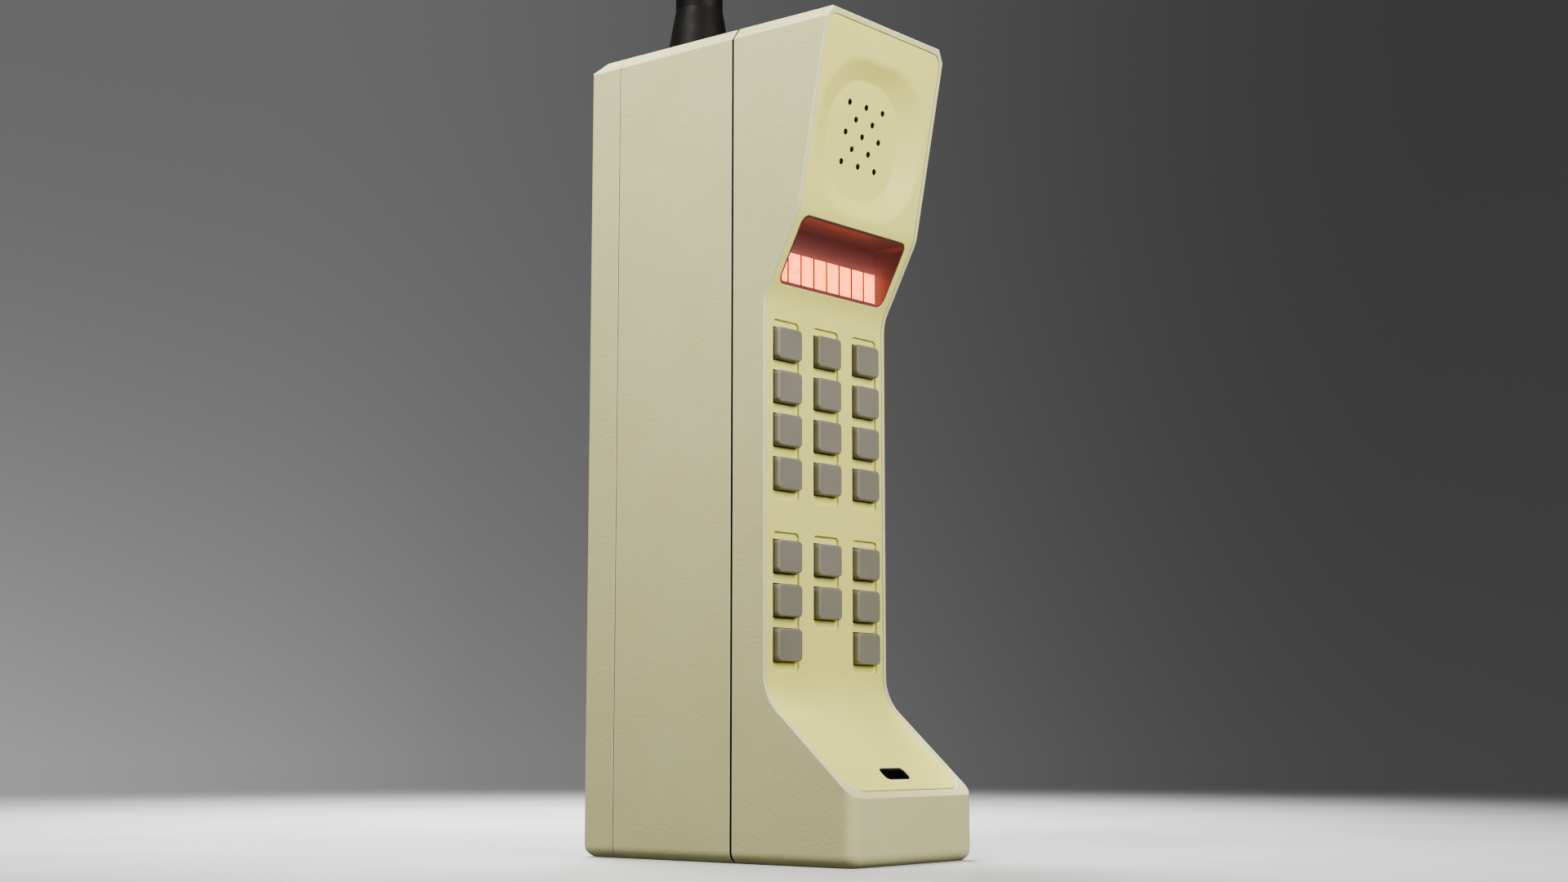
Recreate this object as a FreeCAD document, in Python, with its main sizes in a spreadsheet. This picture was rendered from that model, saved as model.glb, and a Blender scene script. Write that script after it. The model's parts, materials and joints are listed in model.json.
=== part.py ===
import FreeCAD, Part
import math
import os
import Sketcher

from FreeCAD import Placement, Rotation, Vector

# An early hand-held mobile telephone, standing upright.
# Frame: origin on the floor under the middle of the case, +Z up, the keypad faces -Y, +X is the
# width. Distances called "from the front" start at the chin's front face and run towards +Y.

doc = FreeCAD.newDocument("mobile_brick_phone")

# ---------------------------------------------------------------------------------------------
# Driving dimensions, in millimetres
# ---------------------------------------------------------------------------------------------

DIMENSIONS = [
    ("width", 52.7),            # case across X
    ("depth", 91.3),            # case from the chin to the back of the battery pack
    ("height", 220.0),          # case without the antenna
    ("wall", 2.0),              # shell walls
    ("front_seam", 39.3),       # middle of the dark joint between the shells, from the front
    ("front_gap", 0.7),         # width of that joint
    ("rear_seam", 80.3),        # joint between the rear shell and the battery pack
    ("rear_gap", 0.28),
    ("seam_recess", 0.15),       # how far the gasket lies below the case's skin
    ("chamfer_in", 2.5),        # bevel along the top edges of the sides
    ("chamfer_down", 3.3),
    ("back_chamfer_in", 4.1),   # bevel along the top edge of the back
    ("back_chamfer_down", 3.0),
    ("bottom_round", 3.0),      # rounding of all bottom edges
    ("chin_round", 3.6),        # upright edges of the chin
    ("back_round", 1.2),        # upright edges of the back
    ("brow_front", 7.0),        # earpiece face at the very top, from the front
    ("bend_upper_in", 17.07),   # bend between the earpiece face and the display face
    ("bend_upper_up", 167.2),
    ("keypad_in", 28.3),        # upright keypad face, from the front
    ("bend_middle_up", 145.8),  # bend between the display face and the keypad face
    ("bend_lower_up", 42.3),    # bend between the keypad face and the chin slope
    ("chin_up", 17.0),          # top of the chin's upright front
    ("round_upper", 12.0),      # radii of the three bends
    ("round_middle", 12.0),
    ("round_lower", 13.0),
    ("rim", 1.25),              # shell edge that shows around the face plate
    ("rim_top", 1.7),
    ("rim_bottom", 1.5),
    ("plate_step", 0.22),       # the face plate lies this far below the rim
    ("plate", 2.0),             # thickness of the face plate
    ("plate_corner", 3.5),
    ("chin_extra", 2.5),        # the bottom corners of the face plate are this much rounder
    ("plate_fit", 0.09),        # gap around the face plate
    ("ledge", 1.3),             # thickness and width of the ledge that backs the plate
    ("ledge_width", 1.6),
    ("key_columns", 17.0),      # pitch of the keys across and up
    ("key_rows", 11.4),
    ("key_width", 10.0),
    ("key_height", 8.4),
    ("key_proud", 1.4),         # front of a key above the rim face of the keypad
    ("key_corner", 1.3),
    ("key_edge", 0.55),
    ("key_fit", 0.25),          # gap between a key and its hole
    ("key_flange", 0.7),
    ("dial_top", 133.9),        # middle of the highest key of the dialling group
    ("function_top", 78.2),     # middle of the highest key of the function group
    ("track_half", 5.45),       # half width of the sunk track that holds a column of keys
    ("track_above", 6.3),       # track end above and below the middle of its last key
    ("track_below", 6.8),
    ("track_depth", 0.75),
    ("track_corner", 1.2),
    ("dish_up", 190.0),         # middle of the earpiece dish
    ("dish_width", 45.4),
    ("dish_height", 41.2),
    ("dish_corner", 17.0),
    ("cup_width", 31.0),        # floor of the dish
    ("cup_height", 32.4),
    ("cup_corner", 14.0),
    ("dish_depth", 3.3),
    ("dish_floor", 1.5),        # plate thickness left under the dish
    ("hole_pitch", 3.65),       # sound holes: half pitch across, pitch up the face
    ("hole_rise", 4.0),
    ("hole_radius", 0.85),
    ("hole_relief", 1.7),       # wider bore behind each sound hole
    ("hole_skin", 0.22),         # length of the narrow part of a sound hole
    ("hole_middle", 0.8),       # the hole pattern sits this far above the middle of the dish
    ("window_half", 22.2),      # display window
    ("window_low", 150.0),
    ("window_high", 165.8),
    ("window_corner", 1.8),
    ("well_back", 28.4),        # back wall of the display well, from the front
    ("digit_low", 150.75),
    ("digit_high", 158.8),
    ("digit_gap", 0.6),
    ("slot_width", 10.8),       # microphone slot in the chin slope
    ("slot_height", 4.3),
    ("slot_corner", 1.6),
    ("slot_up", 22.8),
    ("slot_liner", 0.7),        # rubber wall of the microphone boot inside the slot
    ("antenna_across", -9.5),   # antenna axis
    ("antenna_in", 66.0),
    ("antenna_base", 9.0),      # radius of the flared foot
    ("antenna_radius", 6.6),
    ("antenna_tip", 6.0),
    ("flare_up", 14.0),
    ("antenna_length", 110.0),
    ("stud_radius", 3.0),
    ("thread_fit", 0.06),
    ("bay_front", 66.0),        # battery bay: its inner wall, from the front
    ("bay_top", 198.0),
    ("pack_fit", 0.4),          # gap between the pack's tray and the bay
    ("cell_radius", 8.5),
    ("cell_length", 49.0),
    ("screw_across", 21.3),     # case screws
    ("screw_low", 13.0),
    ("screw_high", 188.0),
    ("screw_radius", 1.25),
    ("boss_radius", 3.3),
    ("board", 1.6),             # circuit board thickness
    ("rim_edge", 0.45),         # rounding of the shell's edge around the face
    ("seam_edge", 0.1),         # rounding where the shells meet their neighbours
    ("plate_edge", 0.2),        # rounding of the face plate's own outline
    ("window_edge", 0.25),
    ("liner", 0.5),             # wall of the dark liner inside the display window
    ("liner_fit", 0.08),
    ("track_edge", 0.15),
    ("lip_edge", 0.22),         # rounding of the shell's edge next to the face plate
    ("dish_lip", 3.0),          # soft rounding at the lip and round the floor of the dish
    ("dish_bend", 1.4),
    ("rib_depth", 0.6),         # grooves that leave ribs on the latch button
    ("rib_pitch", 1.5),
]

sheet = doc.addObject("Spreadsheet::Sheet", "Sizes")
for row, (alias, value) in enumerate(DIMENSIONS, start=1):
    sheet.set("A%d" % row, alias)
    sheet.set("B%d" % row, str(value))
    sheet.setAlias("B%d" % row, alias)
doc.recompute()


class Size:
    """A length that knows its value and the sheet formula that the value comes from."""

    def __init__(self, value, formula):
        self.value = float(value)
        self.formula = formula

    def joined(self, sign, other, value):
        return Size(value, "(%s %s %s)" % (self.formula, sign, other.formula))

    def __add__(self, other):
        other = as_size(other)
        return self.joined("+", other, self.value + other.value)

    def __radd__(self, other):
        return as_size(other) + self

    def __sub__(self, other):
        other = as_size(other)
        return self.joined("-", other, self.value - other.value)

    def __rsub__(self, other):
        return as_size(other) - self

    def __mul__(self, other):
        other = as_size(other)
        return self.joined("*", other, self.value * other.value)

    def __rmul__(self, other):
        return as_size(other) * self

    def __truediv__(self, other):
        other = as_size(other)
        return self.joined("/", other, self.value / other.value)

    def __neg__(self):
        return Size(-self.value, "(0 - %s)" % self.formula)


def as_size(number):
    return number if isinstance(number, Size) else Size(number, "(%.6f)" % number)


def square_root(size):
    return Size(math.sqrt(size.value), "sqrt(%s)" % size.formula)


def arc_tangent(size):
    return Size(math.degrees(math.atan(size.value)), "atan(%s)" % size.formula)


D = {alias: Size(value, "Sizes.%s" % alias) for alias, value in DIMENSIONS}

HALF_WIDTH = D["width"] / 2


def from_front(distance):
    """Y of a distance measured from the chin's front face."""
    return as_size(distance) - D["depth"] / 2


# ---------------------------------------------------------------------------------------------
# Helpers that build bound features
# ---------------------------------------------------------------------------------------------

def bind(item, path, size):
    item.setExpression(path, as_size(size).formula)


def new_body(label):
    body = doc.addObject("PartDesign::Body", label)
    body.Label = label
    return body


def new_sketch(body, role, lift=0.0, rise=0.0, tilt=None):
    """An empty sketch on an origin plane, moved by lift along its normal and rise up the plane.

    A tilt in degrees turns it about its own first axis.
    """
    plane = next(item for item in body.Origin.OriginFeatures if item.Role == role)
    sketch = body.newObject("Sketcher::SketchObject", body.Label + "_sketch")
    sketch.AttachmentSupport = [(plane, "")]
    sketch.MapMode = "FlatFace"
    turn = as_size(0.0 if tilt is None else tilt)
    lift = as_size(lift)
    rise = as_size(rise)
    spot = Vector(0, rise.value, lift.value)
    sketch.AttachmentOffset = Placement(spot, Rotation(Vector(1, 0, 0), turn.value))
    bind(sketch, "AttachmentOffset.Base.z", lift)
    bind(sketch, "AttachmentOffset.Base.y", rise)
    if tilt is not None:
        bind(sketch, "AttachmentOffset.Rotation.Angle", turn)
    return sketch


def hold(sketch, kind, reference, size):
    """Add a dimension to the sketch and bind it to the sheet."""
    size = as_size(size)
    index = sketch.addConstraint(Sketcher.Constraint(kind, *reference, size.value))
    sketch.setExpression("Constraints[%d]" % index, size.formula)


def add_polygon(sketch, corners):
    corners = [(as_size(u), as_size(v)) for u, v in corners]
    points = [Vector(u.value, v.value, 0) for u, v in corners]
    first = sketch.GeometryCount
    count = len(points)
    for index, point in enumerate(points):
        sketch.addGeometry(Part.LineSegment(point, points[(index + 1) % count]), False)
    for index in range(count):
        following = first + (index + 1) % count
        sketch.addConstraint(Sketcher.Constraint("Coincident", first + index, 2, following, 1))
    for index, (u, v) in enumerate(corners):
        hold(sketch, "DistanceX", (-1, 1, first + index, 1), u)
        hold(sketch, "DistanceY", (-1, 1, first + index, 1), v)


def add_rectangle(sketch, left, right, low, high):
    add_polygon(sketch, [(left, low), (right, low), (right, high), (left, high)])


def add_round_rectangle(sketch, left, right, low, high, radius):
    """Rectangle with equal rounded corners, held by two opposite corner centres and a radius."""
    left, right, low, high, radius = [as_size(x) for x in (left, right, low, high, radius)]
    x0, x1, y0, y1, r = left.value, right.value, low.value, high.value, radius.value
    first = sketch.GeometryCount
    centres = [(x0 + r, y0 + r), (x1 - r, y0 + r), (x1 - r, y1 - r), (x0 + r, y1 - r)]
    quarter = math.pi / 2
    for index, (cx, cy) in enumerate(centres):
        circle = Part.Circle(Vector(cx, cy, 0), Vector(0, 0, 1), r)
        start = math.pi + index * quarter
        sketch.addGeometry(Part.ArcOfCircle(circle, start, start + quarter), False)
    sides = [
        (Vector(x0 + r, y0, 0), Vector(x1 - r, y0, 0)),
        (Vector(x1, y0 + r, 0), Vector(x1, y1 - r, 0)),
        (Vector(x1 - r, y1, 0), Vector(x0 + r, y1, 0)),
        (Vector(x0, y1 - r, 0), Vector(x0, y0 + r, 0)),
    ]
    for start, end in sides:
        sketch.addGeometry(Part.LineSegment(start, end), False)
    for index in range(4):
        arc = first + index
        line = first + 4 + index
        next_arc = first + (index + 1) % 4
        sketch.addConstraint(Sketcher.Constraint("Tangent", arc, 2, line, 1))
        sketch.addConstraint(Sketcher.Constraint("Tangent", line, 2, next_arc, 1))
        sketch.addConstraint(Sketcher.Constraint("Horizontal" if index % 2 == 0 else "Vertical", line))
        if index:
            sketch.addConstraint(Sketcher.Constraint("Equal", first, arc))
    hold(sketch, "Radius", (first,), radius)
    hold(sketch, "DistanceX", (-1, 1, first, 3), left + radius)
    hold(sketch, "DistanceY", (-1, 1, first, 3), low + radius)
    hold(sketch, "DistanceX", (-1, 1, first + 2, 3), right - radius)
    hold(sketch, "DistanceY", (-1, 1, first + 2, 3), high - radius)


def add_circle(sketch, across, up, radius):
    across, up, radius = as_size(across), as_size(up), as_size(radius)
    index = sketch.GeometryCount
    sketch.addGeometry(Part.Circle(Vector(across.value, up.value, 0), Vector(0, 0, 1), radius.value))
    hold(sketch, "Radius", (index,), radius)
    hold(sketch, "DistanceX", (-1, 1, index, 3), across)
    hold(sketch, "DistanceY", (-1, 1, index, 3), up)


def extrude(body, sketch, kind, length, flip=False, both_ways=False):
    """Pad or Pocket the sketch by a bound length; kind is 'Pad' or 'Pocket'."""
    doc.recompute()
    feature = body.newObject("PartDesign::" + kind, body.Label + "_" + kind.lower())
    feature.Profile = sketch
    feature.Reversed = flip
    if both_ways:
        feature.Midplane = True
    bind(feature, "Length", length)
    sketch.Visibility = False
    doc.recompute()
    return feature


def pad(body, sketch, length, flip=False, both_ways=False):
    return extrude(body, sketch, "Pad", length, flip, both_ways)


def pocket(body, sketch, length, flip=False, both_ways=False):
    """Pocket that is checked to take material away."""
    before = body.Shape.Volume
    feature = extrude(body, sketch, "Pocket", length, flip, both_ways)
    if body.Shape.Volume > before - 1e-3:
        raise RuntimeError("a pocket of %s cuts nothing" % body.Label)
    return feature


def edges_where(body, test):
    """Names of the body's edges whose middle point and direction pass the test."""
    names = []
    for index, edge in enumerate(body.Shape.Edges, start=1):
        middle = midpoint(edge)
        span = edge.Vertexes[-1].Point - edge.Vertexes[0].Point
        if span.Length > 1e-6 and test(middle, span.normalize(), edge.Length):
            names.append("Edge%d" % index)
    return names


def soften(body, names, radius, kind="Fillet"):
    """Fillet or Chamfer the named edges of the body's tip."""
    base = body.Tip
    feature = body.newObject("PartDesign::" + kind, body.Label + "_" + kind.lower())
    feature.Base = (base, names)
    bind(feature, "Radius" if kind == "Fillet" else "Size", radius)
    doc.recompute()
    return feature


def midpoint(edge):
    return edge.valueAt((edge.FirstParameter + edge.LastParameter) / 2)


def front_lips(body, before):
    """Names of the edges that a cut has opened in the front-facing skin of an earlier shape."""
    facing = []
    for face in before.Faces:
        low_u, high_u, low_v, high_v = face.ParameterRange
        if face.normalAt((low_u + high_u) / 2, (low_v + high_v) / 2).y < -0.1:
            facing.append(face)
    skin = Part.makeCompound(facing)
    old = Part.makeCompound(before.Edges)
    names = []
    for index, edge in enumerate(body.Shape.Edges, start=1):
        middle = Part.Vertex(midpoint(edge))
        if middle.distToShape(skin)[0] < 1e-4 and middle.distToShape(old)[0] > 1e-3:
            names.append("Edge%d" % index)
    return names


def seam_edges(body, seam):
    """Names of the outer edges of a shell in the plane at this distance from the front."""
    level = from_front(seam).value
    inside = HALF_WIDTH.value - D["wall"].value + 0.5
    low = D["wall"].value - 0.5
    high = D["height"].value - low

    def test(middle, _direction, _length):
        outer = abs(middle.x) > inside or middle.z < low or middle.z > high
        return outer and abs(middle.y - level) < 0.01
    return [name for name in edges_where(body, test)
            if body.Shape.Edges[int(name[4:]) - 1].BoundBox.YLength < 0.01]


def along_x(middle_y, middle_z, reach=0.6):
    """Test for edges along X that pass near the given Y and Z."""
    def test(middle, direction, _length):
        near = abs(middle.y - middle_y.value) < reach and abs(middle.z - middle_z.value) < reach
        return abs(direction.x) > 0.99 and near
    return test


# ---------------------------------------------------------------------------------------------
# The case's outlines
# ---------------------------------------------------------------------------------------------

def front_outline(inset):
    """The case seen from the front, moved inwards by inset: a box with bevelled top corners."""
    half = HALF_WIDTH - inset
    top = D["height"] - inset
    low = as_size(inset)
    return [
        (-half, low),
        (half, low),
        (half, top - D["chamfer_down"]),
        (half - D["chamfer_in"], top),
        (D["chamfer_in"] - half, top),
        (-half, top - D["chamfer_down"]),
    ]


def face_lines(inset):
    """The four straight stretches of the front profile, moved into the case by inset.

    Each is (start, slope), meaning: distance from the front = start + slope * height above floor.
    """
    ends = [
        (D["brow_front"], D["height"], D["bend_upper_in"], D["bend_upper_up"]),
        (D["bend_upper_in"], D["bend_upper_up"], D["keypad_in"], D["bend_middle_up"]),
        (D["keypad_in"], D["bend_middle_up"], D["keypad_in"], D["bend_lower_up"]),
        (D["keypad_in"], D["bend_lower_up"], as_size(0.0), D["chin_up"]),
    ]
    lines = []
    for in_high, up_high, in_low, up_low in ends:
        slope = (in_high - in_low) / (up_high - up_low)
        start = in_low - slope * up_low + inset * square_root(1 + slope * slope)
        lines.append((start, slope))
    return lines


def crossing(first, second):
    """Distance from the front and height where two profile lines meet."""
    up = (second[0] - first[0]) / (first[1] - second[1])
    return first[0] + first[1] * up, up


def face_profile(inset, top, bottom):
    """Points (Y, Z) of the front profile from height top down to height bottom."""
    lines = face_lines(inset)
    top = as_size(top)
    bottom = as_size(bottom)
    points = [(lines[0][0] + lines[0][1] * top, top)]
    for upper, lower in zip(lines, lines[1:]):
        points.append(crossing(upper, lower))
    points.append((lines[3][0] + lines[3][1] * bottom, bottom))
    return [(from_front(distance), up) for distance, up in points]


def face_band(inset, thickness, top, bottom):
    """Closed outline of a sheet that follows the front profile."""
    outer = face_profile(inset, top, bottom)
    inner = face_profile(inset + thickness, top, bottom)
    return outer + inner[::-1]


def round_bends(body, inset, thickness=None):
    """Round the three bends of the front profile on its front skin, and on its back skin."""
    skins = [inset] if thickness is None else [inset, inset + thickness]
    for skin in skins:
        bends = face_profile(skin, D["height"], D["chin_up"])[1:4]
        radii = [D["round_upper"] - skin, D["round_middle"] + skin, D["round_lower"] + skin]
        for (y, z), radius in zip(bends, radii):
            soften(body, edges_where(body, along_x(y, z)), radius)


UPPER_LINE, DISPLAY_LINE, KEYPAD_LINE, CHIN_LINE = face_lines(as_size(0.0))
BROW_TILT = arc_tangent(-UPPER_LINE[1])
CHIN_TILT = arc_tangent(-CHIN_LINE[1])
SLANT = square_root(1 + UPPER_LINE[1] * UPPER_LINE[1])
DISH_IN = UPPER_LINE[0] + UPPER_LINE[1] * D["dish_up"]
SLOT_IN = CHIN_LINE[0] + CHIN_LINE[1] * D["slot_up"]

FRONT_SHELL_BACK = D["front_seam"] - D["front_gap"] / 2
REAR_SHELL_FRONT = D["front_seam"] + D["front_gap"] / 2
REAR_SHELL_BACK = D["rear_seam"] - D["rear_gap"] / 2
PACK_FRONT = D["rear_seam"] + D["rear_gap"] / 2
PLATE_TOP = D["height"] - D["rim_top"]
PLATE_BOTTOM = D["chin_up"] + D["rim_bottom"]


# ---------------------------------------------------------------------------------------------
# Case
# ---------------------------------------------------------------------------------------------

def lower_edges(y_near):
    """Test for the bottom edges of a slab: the two side ones, and the one across at y_near."""
    half = HALF_WIDTH.value

    def test(middle, direction, _length):
        if abs(middle.z) > 0.01:
            return False
        side = abs(abs(middle.x) - half) < 0.01 and abs(direction.y) > 0.99
        across = y_near is not None and abs(middle.y - y_near.value) < 0.01
        return side or across
    return test


def rim_edges(body):
    """Names of the edges between the front profile and the sides, the top and the chin's front."""
    half = HALF_WIDTH.value
    chin = D["chin_up"].value
    corner = D["chin_round"].value + 0.1
    brow_y, brow_z = [size.value for size in face_profile(as_size(0.0), D["height"],
                                                         D["chin_up"])[0]]
    seam = from_front(FRONT_SHELL_BACK).value - 0.5
    front = from_front(0.0).value

    def test(middle, direction, _length):
        if middle.y > seam:
            return False
        side = abs(abs(middle.x) - half) < 0.01 and middle.z > chin and abs(direction.y) < 0.999
        top = middle.z > brow_z - D["chamfer_down"].value - 0.1 and abs(direction.y) < 0.6
        top = top and middle.y < brow_y + 0.7
        ridge = abs(middle.z - chin) < 0.01 and abs(direction.x) > 0.99
        turn = (abs(middle.x) > half - corner and middle.y < front + corner
                and chin - 0.1 < middle.z < chin + corner and abs(direction.z) < 0.99)
        return side or top or ridge or turn
    return edges_where(body, test)


def make_front_shell():
    """Front half of the case: open at the back, with a framed opening for the face plate."""
    body = new_body("front_shell")
    sketch = new_sketch(body, "XZ_Plane", lift=-from_front(0.0))
    add_polygon(sketch, front_outline(0.0))
    pad(body, sketch, FRONT_SHELL_BACK, flip=True)

    sketch = new_sketch(body, "YZ_Plane")
    beyond = from_front(-1.0)
    profile = face_profile(as_size(0.0), D["height"] + 1, D["chin_up"])
    add_polygon(sketch, profile + [(beyond, D["chin_up"]), (beyond, D["height"] + 1)])
    pocket(body, sketch, D["width"] + 2, both_ways=True)

    round_bends(body, as_size(0.0))
    chin = from_front(0.0).value
    soften(body, edges_where(body, lambda m, d, n: abs(d.z) > 0.99 and abs(m.y - chin) < 0.01
                             and m.z < D["chin_up"].value), D["chin_round"])
    soften(body, edges_where(body, lower_edges(from_front(0.0))), D["bottom_round"])
    soften(body, rim_edges(body), D["rim_edge"])
    soften(body, seam_edges(body, FRONT_SHELL_BACK), D["seam_edge"])

    inside = HALF_WIDTH - D["wall"]
    back_skin = D["plate"] + D["plate_step"] + D["ledge"]
    back = from_front(FRONT_SHELL_BACK) + 1
    floor = D["wall"]
    roof = D["height"] - D["wall"]

    # hollow behind the ledge
    sketch = new_sketch(body, "YZ_Plane")
    chin_line = face_lines(back_skin)[3]
    chin_wall = from_front(D["wall"])
    chin_corner = (D["wall"] - chin_line[0]) / chin_line[1]
    points = face_profile(back_skin, roof, chin_corner)
    add_polygon(sketch, points + [(chin_wall, floor), (back, floor), (back, roof)])
    pocket(body, sketch, inside * 2, both_ways=True)

    # pocket for the face plate, and the opening inside its ledge
    for skin, thick, side, top, bottom, corner in (
            (as_size(-1.0), D["plate"] + D["plate_step"] + 1, D["rim"], D["rim_top"],
             D["rim_bottom"], D["plate_corner"]),
            (D["plate"] + D["plate_step"] - 0.5, D["ledge"] + 1, D["rim"] + D["ledge_width"],
             D["rim_top"] + D["ledge_width"], D["rim_bottom"] + D["ledge_width"],
             D["plate_corner"] - 1)):
        cutter = make_face_sheet("plate_cutter", skin, thick, HALF_WIDTH - side,
                                 D["height"] - top, D["chin_up"] + bottom, corner)
        before = body.Shape.copy()
        subtract(body, cutter)
        if side is D["rim"]:
            soften(body, front_lips(body, before), D["lip_edge"])

    cut_slot(body, 0.3, D["plate"] + D["plate_step"] + D["ledge"] + 1)

    # screw bosses along the side walls, with blind holes from the back
    sketch = new_sketch(body, "XZ_Plane", lift=-from_front(FRONT_SHELL_BACK))
    for side in (-1, 1):
        for up in (D["screw_low"], D["screw_high"]):
            add_circle(sketch, side * D["screw_across"], up, D["boss_radius"])
    pad(body, sketch, 9.0)
    sketch = new_sketch(body, "XZ_Plane", lift=-from_front(FRONT_SHELL_BACK))
    for side in (-1, 1):
        for up in (D["screw_low"], D["screw_high"]):
            add_circle(sketch, side * D["screw_across"], up, D["screw_radius"] + 0.02)
    pocket(body, sketch, 8.0, flip=True)
    return body


def cut_slot(body, grow, depth):
    """Cuts the microphone slot, widened all round by grow, this deep from the chin slope."""
    slot = new_sketch(body, "XZ_Plane", -from_front(SLOT_IN), D["slot_up"], CHIN_TILT)
    half = D["slot_width"] / 2 + grow
    tall = D["slot_height"] / 2 + grow
    add_round_rectangle(slot, -half, half, -tall, tall, D["slot_corner"] + grow)
    pocket(body, slot, depth)


def make_face_sheet(label, skin, thick, half, top, bottom, corner):
    """A sheet that follows the front profile and is a rounded rectangle seen from the front."""
    body = new_body(label)
    sketch = new_sketch(body, "YZ_Plane")
    add_polygon(sketch, face_band(skin, thick, top + 1, bottom - 1))
    pad(body, sketch, as_size(half) * 2 + 2, both_ways=True)
    round_bends(body, skin, thick)
    beyond = 20.0
    for low, high, radius in ((bottom - beyond, top, corner),
                              (bottom, top + beyond, corner + D["chin_extra"])):
        trim = new_sketch(body, "XZ_Plane", lift=-from_front(-6.0))
        add_round_rectangle(trim, -half, half, low, high, radius)
        add_rectangle(trim, -D["width"], D["width"], as_size(-beyond), D["height"] + 2 * beyond)
        pocket(body, trim, D["depth"])
    return body


def dish_floor_edge(floor_y, floor_z):
    """Test for edges that lie in the plane of the dish's floor."""
    slope = UPPER_LINE[1].value

    def test(middle, _direction, _length):
        off = (middle.y - floor_y) - slope * (middle.z - floor_z)
        return abs(off) < 0.01
    return test


def subtract(body, tool):
    """Cut another body out of this one, inside its own feature tree."""
    feature = body.newObject("PartDesign::Boolean", body.Label + "_cut")
    feature.Type = "Cut"
    feature.setObjects([tool])
    doc.recompute()
    return feature


def outline_edges(body):
    """Names of the edges around the front skin of the face plate."""
    outline = []
    for face in body.Shape.Faces:
        low_u, high_u, low_v, high_v = face.ParameterRange
        if face.normalAt((low_u + high_u) / 2, (low_v + high_v) / 2).y < -0.1:
            outline.append(face)
    border = Part.makeCompound(outline)
    half = HALF_WIDTH.value - D["rim"].value - D["plate_corner"].value
    top = PLATE_TOP.value - D["plate_corner"].value
    bottom = PLATE_BOTTOM.value + D["plate_corner"].value
    names = []
    for index, edge in enumerate(body.Shape.Edges, start=1):
        middle = midpoint(edge)
        outer = abs(middle.x) > half + 0.01 or middle.z > top or middle.z < bottom
        if outer and Part.Vertex(middle).distToShape(border)[0] < 1e-4:
            names.append("Edge%d" % index)
    return names


def make_face_plate():
    """Inset plate on the front: earpiece dish, display window, key tracks, microphone slot."""
    fit = D["plate_fit"]
    skin = D["plate_step"]
    body = make_face_sheet("face_plate", skin, D["plate"], HALF_WIDTH - D["rim"] - fit,
                           PLATE_TOP - fit, PLATE_BOTTOM + fit, D["plate_corner"] - fit)
    soften(body, outline_edges(body), D["plate_edge"])

    # thicker back behind the dish, then the dish itself
    def below_rim(depth):
        """Lift of a plane that lies this deep behind the rim's earpiece face."""
        return -from_front(DISH_IN + depth * SLANT)

    inside = D["plate"] / 2
    boss = new_sketch(body, "XZ_Plane", below_rim(skin + inside), D["dish_up"], BROW_TILT)
    edge = D["dish_width"] / 2 - 1.5
    rise = D["dish_height"] / 2 - 1.5
    add_round_rectangle(boss, -edge, edge, -rise, rise, D["dish_corner"])
    pad(body, boss, D["dish_depth"] + D["dish_floor"] - inside, flip=True)

    outer = new_sketch(body, "XZ_Plane", below_rim(skin), D["dish_up"], BROW_TILT)
    edge = D["dish_width"] / 2
    rise = D["dish_height"] / 2
    add_round_rectangle(outer, -edge, edge, -rise, rise, D["dish_corner"])
    inner = new_sketch(body, "XZ_Plane", below_rim(skin + D["dish_depth"]), D["dish_up"], BROW_TILT)
    edge = D["cup_width"] / 2
    rise = D["cup_height"] / 2
    add_round_rectangle(inner, -edge, edge, -rise, rise, D["cup_corner"])
    doc.recompute()
    dish = body.newObject("PartDesign::SubtractiveLoft", "earpiece_dish")
    dish.Profile = outer
    dish.Sections = [(inner, [""])]
    before = body.Shape.copy()
    doc.recompute()
    soften(body, front_lips(body, before), D["dish_lip"])
    floor_y, floor_z = [size.value for size in earpiece_spot(skin + D["dish_depth"])]
    floor_y = from_front(floor_y).value
    soften(body, edges_where(body, dish_floor_edge(floor_y, floor_z)), D["dish_bend"])

    for radius, start in ((D["hole_radius"], skin),
                          (D["hole_relief"], skin + D["dish_depth"] + D["hole_skin"])):
        holes = new_sketch(body, "XZ_Plane", below_rim(start), D["dish_up"], BROW_TILT)
        for row in range(-2, 3):
            for column in range(-2, 3):
                if (row + column) % 2 == 0:
                    add_circle(holes, column * D["hole_pitch"],
                               D["hole_middle"] + row * D["hole_rise"], radius)
        pocket(body, holes, D["dish_depth"] + 6)

    window = new_sketch(body, "XZ_Plane", lift=-from_front(0.0))
    grow = D["liner"] + D["liner_fit"]
    add_round_rectangle(window, -D["window_half"] - grow, D["window_half"] + grow,
                        D["window_low"] - grow, D["window_high"] + grow,
                        D["window_corner"] + grow)
    before = body.Shape.copy()
    pocket(body, window, FRONT_SHELL_BACK)
    soften(body, front_lips(body, before), D["window_edge"])

    face = D["keypad_in"] + skin
    before = body.Shape.copy()
    for column, group_top, rows in key_groups():
        tracks = new_sketch(body, "XZ_Plane", lift=-from_front(face))
        middle = column * D["key_columns"]
        high = group_top + D["track_above"]
        low = group_top - (rows - 1) * D["key_rows"] - D["track_below"]
        add_round_rectangle(tracks, middle - D["track_half"], middle + D["track_half"],
                            low, high, D["track_corner"])
        pocket(body, tracks, D["track_depth"])
    soften(body, front_lips(body, before), D["track_edge"])

    half = D["key_width"] / 2 + D["key_fit"]
    tall = D["key_height"] / 2 + D["key_fit"]
    for _name, across, up in key_places():
        opening = new_sketch(body, "XZ_Plane", lift=-from_front(face))
        add_rectangle(opening, across - half, across + half, up - tall, up + tall)
        pocket(body, opening, D["plate"] + 1)

    cut_slot(body, 0.0, D["plate"] + 1)
    return body


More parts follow.
